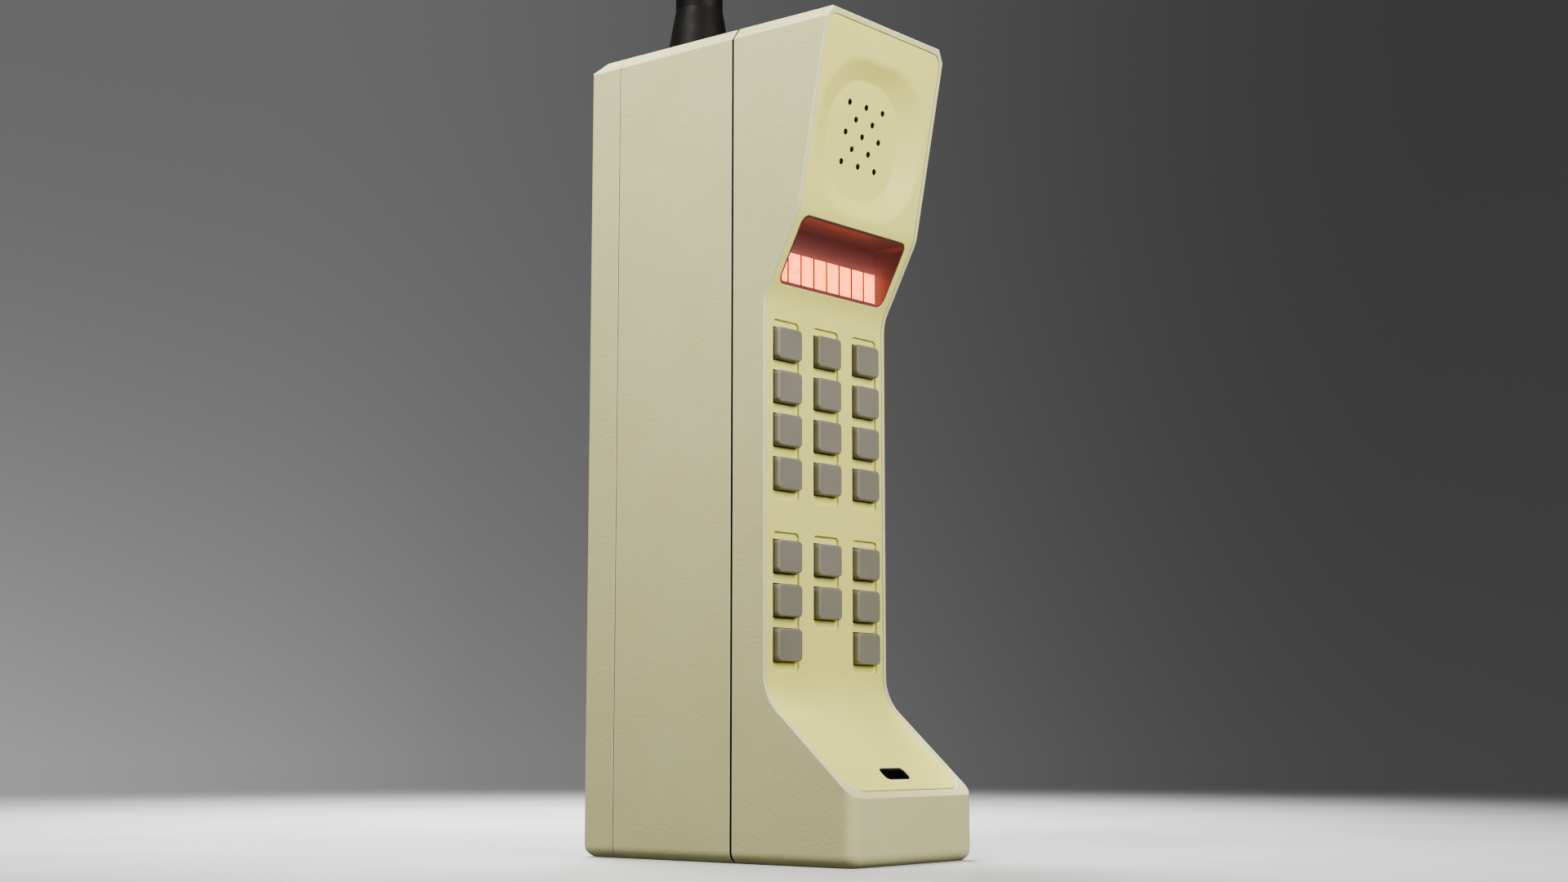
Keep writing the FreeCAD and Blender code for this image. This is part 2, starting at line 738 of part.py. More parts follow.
def key_groups():
    """Each sunk track of keys: its column, the middle of its highest key, and its key count."""
    dial = [(column, D["dial_top"], 4) for column in (-1, 0, 1)]
    function = [(column, D["function_top"], rows) for column, rows in ((-1, 3), (0, 2), (1, 3))]
    return dial + function


KEY_NAMES = [
    ("key_1", "key_4", "key_7", "key_star"),
    ("key_2", "key_5", "key_8", "key_0"),
    ("key_3", "key_6", "key_9", "key_hash"),
    ("key_recall", "key_send", "key_power"),
    ("key_clear", "key_end"),
    ("key_store", "key_function", "key_volume"),
]


def key_places():
    """Every key's name, X and height."""
    places = []
    for names, (column, group_top, rows) in zip(KEY_NAMES, key_groups()):
        for row in range(rows):
            up = group_top - row * D["key_rows"]
            places.append((names[row], column * D["key_columns"], up))
    return places


def make_key(label, across, up):
    """A key cap with softened edges, a flange that keeps it behind the plate, and a plunger."""
    body = new_body(label)
    front = D["keypad_in"] - D["key_proud"]
    flange_front = D["keypad_in"] + D["plate_step"] + D["plate"] + 0.3
    for start, length, half, tall, corner in (
            (front, flange_front - front, D["key_width"] / 2, D["key_height"] / 2,
             D["key_corner"]),
            (flange_front, as_size(0.8), D["key_width"] / 2 + D["key_flange"],
             D["key_height"] / 2 + D["key_flange"], D["key_corner"]),
            (flange_front + 0.8, as_size(0.5), as_size(2.0), as_size(2.0), as_size(0.8))):
        sketch = new_sketch(body, "XZ_Plane", lift=-from_front(start))
        add_round_rectangle(sketch, across - half, across + half, up - tall, up + tall, corner)
        pad(body, sketch, length, flip=True)
    face = from_front(front).value
    soften(body, edges_where(body, lambda m, d, n: abs(m.y - face) < 0.01), D["key_edge"])
    return body


def make_rear_shell():
    """Middle of the case: a tube with the battery bay cut into its back."""
    body = new_body("rear_shell")
    sketch = new_sketch(body, "XZ_Plane", lift=-from_front(REAR_SHELL_FRONT))
    add_polygon(sketch, front_outline(0.0))
    pad(body, sketch, REAR_SHELL_BACK - REAR_SHELL_FRONT, flip=True)
    soften(body, edges_where(body, lower_edges(None)), D["bottom_round"])
    for seam in (REAR_SHELL_FRONT, REAR_SHELL_BACK):
        soften(body, seam_edges(body, seam), D["seam_edge"])

    inside = HALF_WIDTH - D["wall"]
    roof = D["height"] - D["wall"]
    partition = D["bay_front"] - D["wall"]
    sketch = new_sketch(body, "XZ_Plane", lift=-from_front(REAR_SHELL_FRONT))
    add_rectangle(sketch, -inside, inside, D["wall"], roof)
    pocket(body, sketch, partition - REAR_SHELL_FRONT)
    sketch = new_sketch(body, "XZ_Plane", lift=-from_front(REAR_SHELL_BACK))
    add_rectangle(sketch, -inside, inside, D["wall"], D["bay_top"])
    pocket(body, sketch, REAR_SHELL_BACK - D["bay_front"], flip=True)
    sketch = new_sketch(body, "XZ_Plane", lift=-from_front(REAR_SHELL_FRONT))
    add_rectangle(sketch, -inside, inside, D["bay_top"] + D["wall"], roof)
    pocket(body, sketch, REAR_SHELL_BACK - D["wall"] - REAR_SHELL_FRONT)

    sketch = new_sketch(body, "XY_Plane", lift=D["height"])
    add_circle(sketch, D["antenna_across"], from_front(D["antenna_in"]), SOCKET_RADIUS + 0.02)
    pocket(body, sketch, D["wall"] + 1)

    sketch = new_sketch(body, "XZ_Plane", lift=-from_front(REAR_SHELL_FRONT))
    for side, up in screw_places():
        add_circle(sketch, side * D["screw_across"], up, D["boss_radius"])
    pad(body, sketch, partition - REAR_SHELL_FRONT, flip=True)
    sketch = new_sketch(body, "XZ_Plane", lift=-from_front(REAR_SHELL_FRONT))
    for side, up in screw_places():
        add_circle(sketch, side * D["screw_across"], up, D["screw_radius"] + 0.15)
    pocket(body, sketch, D["bay_front"] - REAR_SHELL_FRONT)

    # window for the contact block that meets the battery pack
    sketch = new_sketch(body, "XZ_Plane", lift=-from_front(partition))
    reach = CONTACT_HALF + 0.1
    add_rectangle(sketch, -reach, reach, CONTACT_LOW - 0.1, CONTACT_HIGH + 0.1)
    pocket(body, sketch, D["wall"])
    return body


def screw_places():
    return [(side, up) for side in (-1, 1) for up in (D["screw_low"], D["screw_high"])]


def make_shell_gasket():
    """Dark ring between the two shells, a little below the case's skin."""
    body = new_body("shell_gasket")
    sketch = new_sketch(body, "XZ_Plane", lift=-from_front(FRONT_SHELL_BACK))
    add_polygon(sketch, front_outline(D["seam_recess"]))
    pad(body, sketch, D["front_gap"], flip=True)
    soften(body, edges_where(body, lambda m, d, n: abs(d.y) > 0.99
                             and abs(m.z - D["seam_recess"].value) < 0.01),
           D["bottom_round"] - D["seam_recess"])
    inside = HALF_WIDTH - D["wall"]
    sketch = new_sketch(body, "XZ_Plane", lift=-from_front(FRONT_SHELL_BACK))
    add_rectangle(sketch, -inside, inside, D["wall"], D["height"] - D["wall"])
    pocket(body, sketch, D["front_gap"])
    return body


def add_block(body, across, in_from, in_to, low, high, corner=None):
    """Pad one block: across is a half width about X 0 or a (left, right) pair."""
    left, right = across if isinstance(across, tuple) else (-as_size(across), as_size(across))
    sketch = new_sketch(body, "XZ_Plane", lift=-from_front(in_from))
    if corner is None:
        add_rectangle(sketch, left, right, low, high)
    else:
        add_round_rectangle(sketch, left, right, low, high, corner)
    return pad(body, sketch, as_size(in_to) - in_from, flip=True)


def make_block(label, across, in_from, in_to, low, high, corner=None):
    body = new_body(label)
    add_block(body, across, in_from, in_to, low, high, corner)
    return body


def bound_box(across, in_from, in_to, low, high):
    """A Part box between the given sides: left and right, front and back, low and high."""
    left, right = across
    box = doc.addObject("Part::Box", "block")
    bind(box, "Length", as_size(right) - left)
    bind(box, "Width", as_size(in_to) - in_from)
    bind(box, "Height", as_size(high) - low)
    bind(box, "Placement.Base.x", left)
    bind(box, "Placement.Base.y", from_front(in_from))
    bind(box, "Placement.Base.z", low)
    return box


def bound_cylinder(radius, length, across, distance, up, direction):
    """A Part cylinder that starts at the given point and runs along +Z ("up") or +Y ("back")."""
    rod = doc.addObject("Part::Cylinder", "rod")
    bind(rod, "Radius", radius)
    bind(rod, "Height", length)
    if direction == "back":
        rod.Placement = Placement(Vector(), Rotation(Vector(1, 0, 0), -90))
    bind(rod, "Placement.Base.x", across)
    bind(rod, "Placement.Base.y", from_front(distance))
    bind(rod, "Placement.Base.z", up)
    return rod


def group(label, pieces):
    """Several separate solids in one node."""
    compound = doc.addObject("Part::Compound", label)
    compound.Label = label
    compound.Links = pieces
    return compound


def revolve(label, profile, across, distance, up, tilt=None):
    """Turn a closed outline of (radius, height) points about an upright axis, then place it.

    A tilt lays the axis down: 0 points it along -Y, and more degrees dip it below that.
    """
    body = new_body(label)
    sketch = new_sketch(body, "XZ_Plane")
    add_polygon(sketch, profile)
    doc.recompute()
    turn = body.newObject("PartDesign::Revolution", label + "_turn")
    turn.Profile = sketch
    turn.ReferenceAxis = (sketch, ["V_Axis"])
    turn.Angle = 360
    sketch.Visibility = False
    if tilt is not None:
        body.Placement = Placement(Vector(), Rotation(Vector(1, 0, 0), 90 + as_size(tilt).value))
        bind(body, "Placement.Rotation.Angle", tilt + RIGHT_ANGLE)
    bind(body, "Placement.Base.x", across)
    bind(body, "Placement.Base.y", from_front(distance))
    bind(body, "Placement.Base.z", up)
    doc.recompute()
    return body


RIGHT_ANGLE = Size(90.0, "90 deg")
FLAT_ON = Size(0.0, "0 deg")


# ---------------------------------------------------------------------------------------------
# Display
# ---------------------------------------------------------------------------------------------

WELL_WALL = as_size(1.2)
DIGIT_COUNT = 8
DIGIT_FRONT = D["well_back"] - 0.15
DIGIT_BACK = DIGIT_FRONT + 4.5


def make_display_well():
    """Dark liner behind the window: side walls, roof, floor and a back wall with a digit slot."""
    body = new_body("display_well")
    half = D["window_half"] + WELL_WALL
    low = D["window_low"] - WELL_WALL
    high = D["window_high"] + WELL_WALL
    skin = D["plate_step"] + D["plate"] + 0.15
    line = face_lines(skin)[1]
    back = from_front(D["well_back"] + WELL_WALL)
    sketch = new_sketch(body, "YZ_Plane")
    add_polygon(sketch, [(back, low), (back, high), (from_front(line[0] + line[1] * high), high),
                         (from_front(line[0] + line[1] * low), low)])
    pad(body, sketch, half * 2, both_ways=True)

    # collar that lines the window in the face plate, cut flush just below the plate's skin
    ahead = D["brow_front"]
    collar = new_sketch(body, "XZ_Plane", lift=-from_front(ahead))
    grow = D["liner"]
    add_round_rectangle(collar, -D["window_half"] - grow, D["window_half"] + grow,
                        D["window_low"] - grow, D["window_high"] + grow,
                        D["window_corner"] + grow)
    pad(body, collar, D["well_back"] - ahead, flip=True)
    line = face_lines(D["plate_step"] + 0.15)[1]
    low = D["window_low"] - 3
    high = D["window_high"] + 3
    sketch = new_sketch(body, "YZ_Plane")
    add_polygon(sketch, [(from_front(ahead - 1), low), (from_front(line[0] + line[1] * low), low),
                         (from_front(line[0] + line[1] * high), high),
                         (from_front(ahead - 1), high)])
    pocket(body, sketch, D["width"], both_ways=True)
    sketch = new_sketch(body, "XZ_Plane", lift=-from_front(ahead))
    add_round_rectangle(sketch, -D["window_half"], D["window_half"], D["window_low"],
                        D["window_high"], D["window_corner"])
    pocket(body, sketch, D["well_back"] - ahead)
    sketch = new_sketch(body, "XZ_Plane", lift=-from_front(D["well_back"]))
    slot_half = D["window_half"] - 0.05
    add_rectangle(sketch, -slot_half, slot_half, D["digit_low"] - 0.05, D["digit_high"] + 0.05)
    pocket(body, sketch, WELL_WALL)
    return body


def make_display_digits():
    """Eight light-emitting digit modules side by side."""
    pitch = (D["window_half"] * 2 - 0.2) / DIGIT_COUNT
    pieces = []
    for index in range(DIGIT_COUNT):
        left = pitch * index - D["window_half"] + 0.1
        pieces.append(bound_box((left + D["digit_gap"] / 2, left + pitch - D["digit_gap"] / 2),
                                DIGIT_FRONT, DIGIT_BACK, D["digit_low"], D["digit_high"]))
    return group("display_digits", pieces)


# ---------------------------------------------------------------------------------------------
# Earpiece and microphone
# ---------------------------------------------------------------------------------------------

SPEAKER_RADIUS = as_size(14.0)


def earpiece_spot(depth):
    """A point on the earpiece axis, this deep behind the rim face: (from the front, height)."""
    return DISH_IN + depth / SLANT, D["dish_up"] - depth * UPPER_LINE[1] / SLANT


def make_earpiece_parts():
    start = D["plate_step"] + D["dish_depth"] + D["dish_floor"] + 0.1
    reach = SPEAKER_RADIUS
    lip = reach - 2
    rings = [
        ("speaker_gasket", [(lip - 1, 0.0), (lip - 1, -1.0), (reach, -1.0), (reach, 0.0)], 0.0),
        ("speaker_frame", [(lip, 0.0), (reach, 0.0), (reach, -1.0), (reach - 3, -5.0),
                           (7.6, -5.0), (7.6, -6.0), (9.2, -6.0), (9.2, -5.9), (reach - 2.6, -5.9),
                           (reach + 0.8, -1.4), (reach + 0.8, 0.0), (reach + 0.8, 0.4),
                           (lip, 0.4)], 1.6),
        ("speaker_cone", [(as_size(0.0), -2.6), (3.0, -2.6), (lip - 0.3, -0.3), (lip - 0.3, 0.0),
                          (3.0, -2.2), (as_size(0.0), -2.2)], 1.6),
        ("speaker_magnet", [(as_size(0.0), -6.2), (as_size(0.0), -10.0), (9.0, -10.0),
                            (9.0, -6.2)], 1.6),
    ]
    parts = []
    for label, profile, depth in rings:
        distance, up = earpiece_spot(start + depth)
        parts.append(revolve(label, profile, 0.0, distance, up, BROW_TILT))
    return parts


def make_microphone_parts():
    """Capsule in a rubber boot behind the slot in the chin."""
    slant = square_root(1 + CHIN_LINE[1] * CHIN_LINE[1])
    depth = D["plate_step"] + D["plate"] + D["ledge"] + 0.2
    distance = SLOT_IN + depth / slant
    up = D["slot_up"] - depth * CHIN_LINE[1] / slant
    boot = [(3.6, 0.0), (3.6, -4.6), (0.0, -4.6), (0.0, -5.6), (4.8, -5.6), (4.8, 0.0)]
    capsule = [(0.0, -0.2), (0.0, -4.5), (3.5, -4.5), (3.5, -0.2)]
    boot = revolve("microphone_boot", boot, 0.0, distance, up, CHIN_TILT)
    half = D["slot_width"] / 2 - 0.05
    tall = D["slot_height"] / 2 - 0.05
    reach = depth - D["plate_step"] - 0.2
    sketch = new_sketch(boot, "XY_Plane")
    add_round_rectangle(sketch, -half, half, -tall, tall, D["slot_corner"])
    pad(boot, sketch, reach)
    half = half - D["slot_liner"]
    tall = tall - D["slot_liner"]
    sketch = new_sketch(boot, "XY_Plane", lift=reach)
    add_round_rectangle(sketch, -half, half, -tall, tall, 0.4)
    pocket(boot, sketch, reach)
    return [boot, revolve("microphone_capsule", capsule, 0.0, distance, up, CHIN_TILT)]


# ---------------------------------------------------------------------------------------------
# Circuit boards and what they carry
# ---------------------------------------------------------------------------------------------

BOARD_HALF = as_size(21.5)
MAT_FRONT = D["keypad_in"] + D["plate_step"] + D["plate"] + 0.3 + 1.3 + 0.9
MAT_BACK = MAT_FRONT + 0.8
KEYPAD_BACK = MAT_BACK + D["board"]
LOGIC_FRONT = as_size(44.0)
LOGIC_BACK = LOGIC_FRONT + D["board"]
RADIO_FRONT = as_size(57.0)
RADIO_BACK = RADIO_FRONT + D["board"]
BOARD_LOW = as_size(26.0)
BOARD_HIGH = as_size(178.0)
KEYPAD_LOW = as_size(47.0)
KEYPAD_HIGH = as_size(143.0)


def make_boards():
    display_back = DIGIT_BACK + D["board"]
    return [
        make_block("keypad_mat", BOARD_HALF, MAT_FRONT, MAT_BACK, KEYPAD_LOW, KEYPAD_HIGH),
        make_block("keypad_board", BOARD_HALF, MAT_BACK, KEYPAD_BACK, KEYPAD_LOW, KEYPAD_HIGH),
        make_block("display_board", BOARD_HALF, DIGIT_BACK, display_back, as_size(146.0),
                   as_size(168.0)),
        make_block("logic_board", BOARD_HALF, LOGIC_FRONT, LOGIC_BACK, BOARD_LOW, BOARD_HIGH),
        make_block("radio_board", BOARD_HALF, RADIO_FRONT, RADIO_BACK, BOARD_LOW, BOARD_HIGH),
    ]


def make_board_parts():
    """Chips, shields, filters, spacers and plugs between the two main boards."""
    chips = [bound_box((left, left + wide), LOGIC_FRONT - 3, LOGIC_FRONT, low, low + tall)
             for left, wide, low, tall in ((-19, 14, 120, 36), (-1, 14, 112, 50), (-19, 8, 90, 20),
                                           (-6, 18, 78, 22), (-19, 38, 40, 10))]
    chips += [bound_box((left, left + 5), LOGIC_FRONT - 4, LOGIC_FRONT, low, low + 11)
              for left, low in ((14, 150), (14, 130), (14, 60))]
    spacers = [bound_cylinder(2.0, RADIO_FRONT - LOGIC_BACK, across, LOGIC_BACK, up, "back")
               for across in (-18.5, 18.5) for up in (BOARD_LOW + 3, BOARD_HIGH - 3)]
    shield = make_shield_can()
    plug = make_block("board_connector", 12.0, LOGIC_BACK, RADIO_FRONT, 34.0, 39.0)
    duplexer = make_block("duplexer_filter", (as_size(-19.0), as_size(19.0)), LOGIC_BACK + 1.5,
                          RADIO_FRONT, 136.0, 164.0, 1.0)
    amplifier = make_block("power_amplifier", (as_size(-19.0), as_size(-3.0)), RADIO_FRONT - 4,
                           RADIO_FRONT, 92.0, 128.0)
    spreader = make_block("heat_spreader", (as_size(-20.0), as_size(-2.0)), RADIO_FRONT - 6,
                          RADIO_FRONT - 4, 90.0, 130.0)
    ringer = revolve("ringer", [(0.0, 0.0), (8.0, 0.0), (8.0, -4.0), (0.0, -4.0)], 8.0,
                     KEYPAD_BACK + 0.3, 62.0, FLAT_ON)
    return [group("logic_chips", chips), group("board_spacers", spacers), shield, plug,
            duplexer, amplifier, spreader, ringer]


def make_shield_can():
    """Thin tinned can over the receiver section of the radio board, open towards the board."""
    body = new_body("receiver_shield")
    add_block(body, (as_size(0.0), as_size(20.0)), RADIO_FRONT - 7, RADIO_FRONT, 46.0, 128.0)
    sketch = new_sketch(body, "XZ_Plane", lift=-from_front(RADIO_FRONT))
    add_rectangle(sketch, 0.4, 19.6, 46.4, 127.6)
    pocket(body, sketch, 6.6, flip=True)
    return body


# ---------------------------------------------------------------------------------------------
# Antenna
# ---------------------------------------------------------------------------------------------

SOCKET_RADIUS = as_size(5.0)
SOCKET_LOW = D["height"] - 12
ANTENNA_FOOT = D["height"] + 0.3
ROD_RADIUS = as_size(1.5)


def make_antenna_parts():
    across = D["antenna_across"]
    distance = D["antenna_in"]
    bore = D["stud_radius"] + D["thread_fit"]
    collar = D["height"] - D["wall"]
    socket = revolve("antenna_socket", [
        (bore, SOCKET_LOW), (7.0, SOCKET_LOW), (7.0, collar - 0.02), (SOCKET_RADIUS, collar - 0.02),
        (SOCKET_RADIUS, D["height"] - 0.1), (bore, D["height"] - 0.1)], across, distance, 0.0)
    stud_top = ANTENNA_FOOT + 8
    stud = revolve("antenna_stud", [
        (0.0, SOCKET_LOW + 2), (D["stud_radius"], SOCKET_LOW + 2), (D["stud_radius"], stud_top),
        (0.0, stud_top)], across, distance, 0.0)
    rod_top = ANTENNA_FOOT + D["antenna_length"] - 6
    rod = revolve("antenna_rod", [
        (0.0, stud_top), (ROD_RADIUS, stud_top), (ROD_RADIUS, rod_top), (0.0, rod_top)],
        across, distance, 0.0)
    return [socket, stud, rod, make_antenna_sleeve(stud_top, rod_top)]


def make_antenna_sleeve(stud_top, rod_top):
    """Rubber sleeve: flared foot, slightly tapered shaft, round tip, hollow for stud and rod."""
    tip = ANTENNA_FOOT + D["antenna_length"] - 0.3
    body = revolve("antenna_sleeve", [
        (D["stud_radius"], ANTENNA_FOOT), (D["antenna_base"], ANTENNA_FOOT),
        (D["antenna_radius"], ANTENNA_FOOT + D["flare_up"]), (D["antenna_tip"], tip),
        (0.0, tip), (0.0, rod_top), (ROD_RADIUS, rod_top), (ROD_RADIUS, stud_top),
        (D["stud_radius"], stud_top)], D["antenna_across"], D["antenna_in"], 0.0)
    tip_edges = []
    for index, edge in enumerate(body.Shape.Edges, start=1):
        box = edge.BoundBox
        if abs(box.ZMin - tip.value) < 0.01 and abs(box.ZMax - tip.value) < 0.01:
            tip_edges.append("Edge%d" % index)
    soften(body, tip_edges, D["antenna_tip"] - 1.5)
    return body


# ---------------------------------------------------------------------------------------------
# Battery pack
# ---------------------------------------------------------------------------------------------

TRAY_FRONT = D["bay_front"] + D["pack_fit"]
TRAY_HALF = HALF_WIDTH - D["wall"] - D["pack_fit"]
TRAY_LOW = D["wall"] + D["pack_fit"]
TRAY_HIGH = D["bay_top"] - D["pack_fit"]
TRAY_WALL = as_size(1.5)
LATCH_HALF = as_size(8.0)
LATCH_LOW = as_size(203.0)
LATCH_HIGH = as_size(210.0)
CONTACT_HALF = as_size(12.0)
CONTACT_LOW = as_size(180.0)
CONTACT_HIGH = as_size(186.0)


def make_battery_case():
    """Back slab of the phone with a hollow tray that fills the bay, closed by a lid."""
    body = new_body("battery_case")
    sketch = new_sketch(body, "XZ_Plane", lift=-from_front(PACK_FRONT))
    add_polygon(sketch, front_outline(0.0))
    pad(body, sketch, D["depth"] - PACK_FRONT, flip=True)
    back = from_front(D["depth"])
    sketch = new_sketch(body, "YZ_Plane")
    add_polygon(sketch, [(back - D["back_chamfer_in"], D["height"]), (back + 1, D["height"] + 1),
                         (back, D["height"] - D["back_chamfer_down"])])
    pocket(body, sketch, D["width"] + 2, both_ways=True)
    limit = back.value
    soften(body, edges_where(body, lambda m, d, n: abs(d.z) > 0.9 and abs(m.y - limit) < 0.01
                             and n > 100), D["back_round"])
    soften(body, edges_where(body, lower_edges(back)), D["bottom_round"])
    soften(body, seam_edges(body, PACK_FRONT), D["seam_edge"])
    add_block(body, TRAY_HALF, TRAY_FRONT, PACK_FRONT + 1, TRAY_LOW, TRAY_HIGH)

    inside = TRAY_HALF - TRAY_WALL
    sketch = new_sketch(body, "XZ_Plane", lift=-from_front(TRAY_FRONT))
    add_rectangle(sketch, -inside, inside, TRAY_LOW + TRAY_WALL, TRAY_HIGH - TRAY_WALL)
    pocket(body, sketch, D["depth"] - D["wall"] - TRAY_FRONT)
    sketch = new_sketch(body, "XZ_Plane", lift=-from_front(PACK_FRONT))
    add_rectangle(sketch, -inside, inside, D["bay_top"] + 2, D["height"] - 3.5)
    pocket(body, sketch, D["depth"] - D["wall"] - PACK_FRONT)
    sketch = new_sketch(body, "XZ_Plane", lift=-from_front(D["depth"] - D["wall"] - 1))
    add_round_rectangle(sketch, -LATCH_HALF, LATCH_HALF, LATCH_LOW, LATCH_HIGH, 1.5)
    pocket(body, sketch, D["wall"] + 2)
    return body


def make_battery_latch():
    """Push button in the back of the pack, held by a flange behind the wall."""
    body = new_body("battery_latch")
    inner = D["depth"] - D["wall"]
    half = LATCH_HALF - 0.25
    add_block(body, half, inner - 0.4, D["depth"] - 0.1, LATCH_LOW + 0.25, LATCH_HIGH - 0.25, 1.25)
    add_block(body, LATCH_HALF + 1.2, inner - 1.4, inner - 0.3, LATCH_LOW - 1.2, LATCH_HIGH + 1.2,
              1.5)
    middle = (LATCH_LOW + LATCH_HIGH) / 2
    for step in (-1.5, -0.5, 0.5, 1.5):
        groove = new_sketch(body, "XZ_Plane", lift=-from_front(D["depth"] - 0.1))
        up = middle + step * D["rib_pitch"]
        add_rectangle(groove, 1.0 - half, half - 1.0, up - 0.35, up + 0.35)
        pocket(body, groove, D["rib_depth"], flip=True)
    return body


def make_battery_parts():
    lid_half = TRAY_HALF - TRAY_WALL - 0.05
    lid_low = TRAY_LOW + TRAY_WALL + 0.05
    lid_high = TRAY_HIGH - TRAY_WALL - 0.05
    lid = make_block("battery_lid", lid_half, TRAY_FRONT, TRAY_FRONT + 1.2, lid_low, lid_high)
    centre = TRAY_FRONT + 1.4 + D["cell_radius"] + 0.6
    cells = []
    straps = []
    for row in range(3):
        low = TRAY_LOW + 4 + row * (D["cell_length"] + 2)
        for side in (-1, 1):
            across = side * (D["cell_radius"] + 0.4)
            cells.append(bound_cylinder(D["cell_radius"], D["cell_length"], across, centre,
                                        low, "up"))
    for row in range(4):
        low = TRAY_LOW + 2.6 + row * (D["cell_length"] + 2)
        straps.append(bound_box((-13.0, 13.0), centre - 3, centre + 3, low, low + 0.3))
    contacts = [bound_box((left, left + 4), TRAY_FRONT - 0.3, TRAY_FRONT, CONTACT_LOW, CONTACT_HIGH)
                for left in (-11.0, -2.0, 7.0)]
    spring = make_latch_spring()
    return [make_battery_case(), lid, group("battery_cells", cells), group("cell_straps", straps),
            group("battery_contacts", contacts), make_battery_latch(), spring]


def make_latch_spring():
    """Spring plate that closes the latch chamber, with a bent leaf behind the button."""
    body = new_body("latch_spring")
    start = from_front(PACK_FRONT + 0.1)
    face = start + 0.8
    low = LATCH_LOW - 1
    high = LATCH_HIGH + 1
    middle = (low + high) / 2
    sketch = new_sketch(body, "YZ_Plane")
    add_polygon(sketch, [(start, D["bay_top"] + 2.1), (face, D["bay_top"] + 2.1), (face, low),
                         (face + 2.9, middle), (face, high), (face, D["height"] - 3.6),
                         (start, D["height"] - 3.6)])
    add_polygon(sketch, [(face, low + 1.3), (face + 2.2, middle), (face, high - 1.3)])
    pad(body, sketch, as_size(16.0), both_ways=True)
    return body


def make_case_contacts():
    """Sprung contact block in the bay wall, and the three contacts in it."""
    partition = D["bay_front"] - D["wall"]
    block = make_block("contact_block", CONTACT_HALF, partition - 1.5, D["bay_front"] - 0.2,
                       CONTACT_LOW, CONTACT_HIGH)
    pins = [bound_box((left + 1, left + 3), D["bay_front"] - 0.2, D["bay_front"],
                      CONTACT_LOW + 1, CONTACT_HIGH - 1)
            for left in (-11.0, -2.0, 7.0)]
    return [block, group("case_contacts", pins)]


def make_case_screws():
    """Four long screws from the bay, through the rear shell, into the front shell."""
    body_radius = D["screw_radius"] - 0.03
    start = FRONT_SHELL_BACK - 7
    screws = []
    for side, up in screw_places():
        across = side * D["screw_across"]
        shank = bound_cylinder(body_radius, D["bay_front"] - start, across, start, up, "back")
        screws.append(shank)
    return group("case_screws", screws)


def make_coax_lead():
    """Stiff coaxial lead: up from the radio board, back over the bay, up to the antenna socket."""
    radius = as_size(1.1)
    across = D["antenna_across"]
    near = RADIO_BACK + 2
    turn = SOCKET_LOW - 4
    pieces = [
        bound_cylinder(radius, turn - BOARD_HIGH + 6, across, near, BOARD_HIGH - 6, "up"),
        bound_cylinder(radius, D["antenna_in"] - near, across, near, turn, "back"),
        bound_cylinder(radius, SOCKET_LOW - turn, across, D["antenna_in"], turn, "up"),
    ]
    for distance in (near, D["antenna_in"]):
        elbow = doc.addObject("Part::Sphere", "elbow")
        bind(elbow, "Radius", radius)
        bind(elbow, "Placement.Base.x", across)
        bind(elbow, "Placement.Base.y", from_front(distance))
        bind(elbow, "Placement.Base.z", turn)
        pieces.append(elbow)
    lead = doc.addObject("Part::MultiFuse", "coax_lead")
    lead.Label = "coax_lead"
    lead.Shapes = pieces
    return lead


PARTS = [make_front_shell(), make_face_plate(), make_rear_shell(), make_shell_gasket()]
PARTS += [make_key(*place) for place in key_places()]
PARTS += [make_display_well(), make_display_digits()]
PARTS += make_earpiece_parts() + make_microphone_parts()
PARTS += make_boards() + make_board_parts()
PARTS += make_antenna_parts() + make_battery_parts() + make_case_contacts()
PARTS += [make_case_screws(), make_coax_lead()]


# ---------------------------------------------------------------------------------------------
# Check and export
# ---------------------------------------------------------------------------------------------

def check_and_export():
    doc.recompute()
    for item in doc.Objects:
        if "Invalid" in item.State or "Error" in item.State:
            raise RuntimeError("%s failed: %s" % (item.Label, item.State))
    for part in PARTS:
        if part.Shape.isNull() or not part.Shape.isValid():
            raise RuntimeError("%s has no valid shape" % part.Label)
    os.makedirs("parts", exist_ok=True)
    for part in PARTS:
        part.Shape.exportStep("parts/%s.step" % part.Label)


check_and_export()
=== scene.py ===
import json
import math

import bpy
import numpy as np
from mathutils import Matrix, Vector


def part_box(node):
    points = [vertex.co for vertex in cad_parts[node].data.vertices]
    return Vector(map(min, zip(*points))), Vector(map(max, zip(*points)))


# An early hand-held mobile telephone: moulded case with a grained skin, yellower face plate, grey
# push keys, a red lit display in a dark well, a rubber antenna and a removable battery pack.
# Metres throughout; the keypad faces -Y, +X is the width, the floor is z = 0.

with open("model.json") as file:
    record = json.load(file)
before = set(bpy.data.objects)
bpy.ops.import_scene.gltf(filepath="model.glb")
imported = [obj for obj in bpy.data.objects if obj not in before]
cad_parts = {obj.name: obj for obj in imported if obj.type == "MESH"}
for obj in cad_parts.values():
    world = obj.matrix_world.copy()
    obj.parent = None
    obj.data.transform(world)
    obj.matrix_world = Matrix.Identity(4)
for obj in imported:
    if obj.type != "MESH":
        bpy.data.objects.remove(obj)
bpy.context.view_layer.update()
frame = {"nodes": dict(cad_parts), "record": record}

MILLIMETRE = 0.001
PITCH_UP = 7.69             # camera's aim above the horizon, and its turn about +Z, in degrees
YAW = -51.16
FLOOR_RADIUS = 1.1
FLOOR_RINGS = 24
FLOOR_SPOKES = 96
FLOOR_SOLID = 0.2           # the floor is solid to this radius and has faded out by the next
FLOOR_GONE = 0.95
PAINTED_GLOW_HALVES = 1.7 * MILLIMETRE      # the painted glow on the display's well halves over this distance
BESIDE_DIGITS = 0.3 * MILLIMETRE


